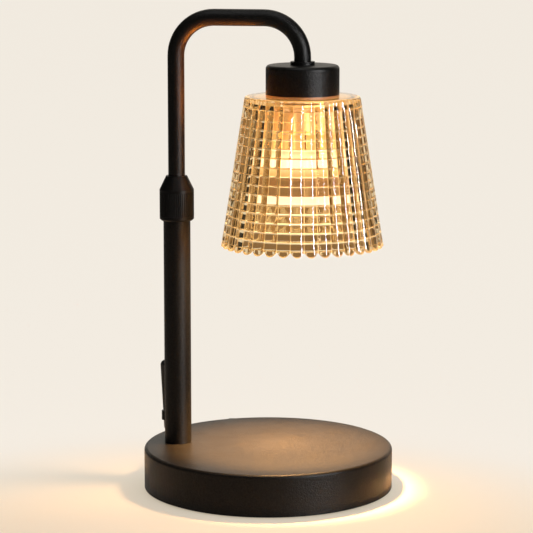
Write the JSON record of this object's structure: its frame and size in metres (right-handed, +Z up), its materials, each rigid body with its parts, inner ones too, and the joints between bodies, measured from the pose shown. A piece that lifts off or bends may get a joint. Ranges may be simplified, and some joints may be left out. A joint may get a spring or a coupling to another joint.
{
  "type": "candle warmer lamp",
  "caption": "Candle warmer lamp: weighted round base, telescopic pole with a knurled lock nut, swivelling bent arm, fluted glass shade over a reflector bulb, corded in-line dimmer",
  "frame": {"origin": "centre of the round base where it meets the table", "axes": "+Z up along the pole, +X from the pole towards the shade, +Y to the side where the cord leaves"},
  "size_m": [0.1594, 0.2308, 0.2885],
  "materials": {
    "black_coat": "fine satin powder coat",
    "cast_stone": "cast cement",
    "foot_foam": "closed-cell foam",
    "zinc_steel": "zinc plated",
    "dark_steel": "satin black",
    "nylon": "moulded nylon",
    "lead_sheath": "flexible sheath",
    "cord_rubber": "matt flexible PVC",
    "plug_rubber": "moulded PVC",
    "tie_plastic": "plastic tie",
    "switch_plastic": "satin moulding",
    "wheel_plastic": "ribbed moulding",
    "board_green": "circuit board",
    "nickel_brass": "nickel plated",
    "silicone": "translucent silicone",
    "white_ceramic": "unglazed steatite",
    "clear_glass": "pressed, fluted",
    "bulb_glass": "aluminised inside",
    "bulb_lens_glass": "frosted rim",
    "lit_quartz": "lit halogen capsule"
  },
  "bodies": {
    "stand": {"base_shell": "black_coat", "base_weight": "cast_stone", "base_pad": "foot_foam", "pole_washer": "zinc_steel", "pole_bolt": "zinc_steel", "foot_plug": "zinc_steel", "lower_tube": "black_coat", "collet_sleeve": "zinc_steel", "split_collet": "nylon", "pole_lead": "lead_sheath", "strain_relief": "cord_rubber", "cord_clamp": "cord_rubber", "cord_lead": "cord_rubber", "cord_link": "cord_rubber", "cord_tail": "cord_rubber", "cord_hank": "cord_rubber", "hank_tie": "tie_plastic", "dimmer_lower_case": "switch_plastic", "dimmer_upper_case": "switch_plastic", "dimmer_board": "board_green", "plug_body": "plug_rubber", "plug_blades": "nickel_brass"},
    "lock_nut": {"lock_nut": "black_coat"},
    "guide": {"guide_bush": "nylon"},
    "head": {"upper_tube": "black_coat", "bush_clips": "nylon", "arm_lead": "lead_sheath", "flange_ring": "black_coat", "socket_cap": "black_coat", "head_nipple": "zinc_steel", "nipple_nuts": "zinc_steel", "holder_sleeve": "zinc_steel", "lampholder": "white_ceramic", "holder_screws": "zinc_steel", "shade_gasket": "silicone", "shade": "clear_glass", "ring_washer": "silicone", "shade_ring": "dark_steel", "bulb_reflector": "bulb_glass", "bulb_lens": "bulb_lens_glass", "bulb_base": "white_ceramic", "bulb_pins": "nickel_brass", "bulb_capsule": "lit_quartz"},
    "dimmer_wheel": {"dimmer_wheel": "wheel_plastic"}
  },
  "joints": [
    {"name": "collar_turn", "type": "hinge", "parent": "stand", "child": "lock_nut", "pos_m": [-0.0555, 0, 0.172], "axis": [0, 0, 1], "range_deg": [0, 270]},
    {"name": "height_slide", "type": "slide", "parent": "stand", "child": "guide", "axis": [0, 0, 1], "range_m": [0, 0.07]},
    {"name": "arm_swivel", "type": "hinge", "parent": "guide", "child": "head", "pos_m": [-0.0555, 0, 0.1], "axis": [0, 0, 1], "range_deg": [-180, 180]},
    {"name": "dimmer_turn", "type": "hinge", "parent": "stand", "child": "dimmer_wheel", "pos_m": [-0.01524, 0.08344, 0.0092], "axis": [-0.1564, 0.9877, 0], "range_deg": [0, 270]}
  ]
}
